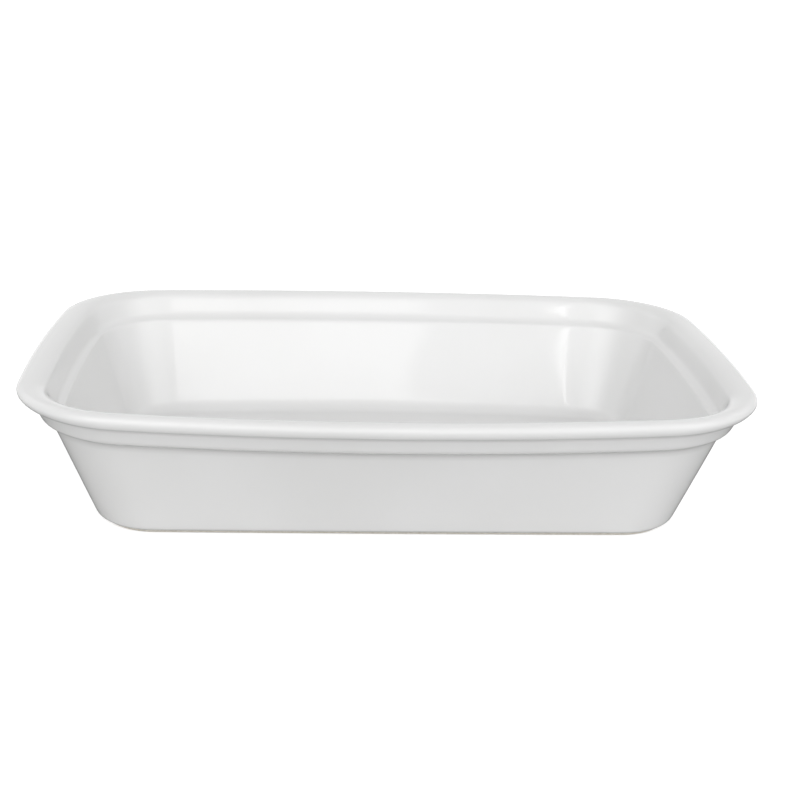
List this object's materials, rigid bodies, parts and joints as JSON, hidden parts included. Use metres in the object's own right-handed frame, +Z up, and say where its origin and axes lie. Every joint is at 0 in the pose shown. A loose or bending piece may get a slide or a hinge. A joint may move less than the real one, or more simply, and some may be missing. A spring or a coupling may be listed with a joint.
{
  "type": "oven dish",
  "caption": "Rectangular white glazed ceramic oven dish with flared walls, bowed sides, a stepped rim with a round lip, and a bare foot ring to stand on.",
  "frame": {"origin": "middle of the foot ring, on the surface that the dish stands on", "axes": "+X along the long sides, +Y across the dish, +Z up out of the mouth"},
  "size_m": [0.38, 0.25, 0.075],
  "materials": {
    "bare_ceramic": "fired clay, matt and slightly rough, bare of glaze",
    "white_glaze": "glossy white opaque glaze"
  },
  "bodies": {
    "root": {"ceramic_body": "bare_ceramic", "glaze_coat": "white_glaze", "underside_glaze": "white_glaze"}
  },
  "joints": []
}
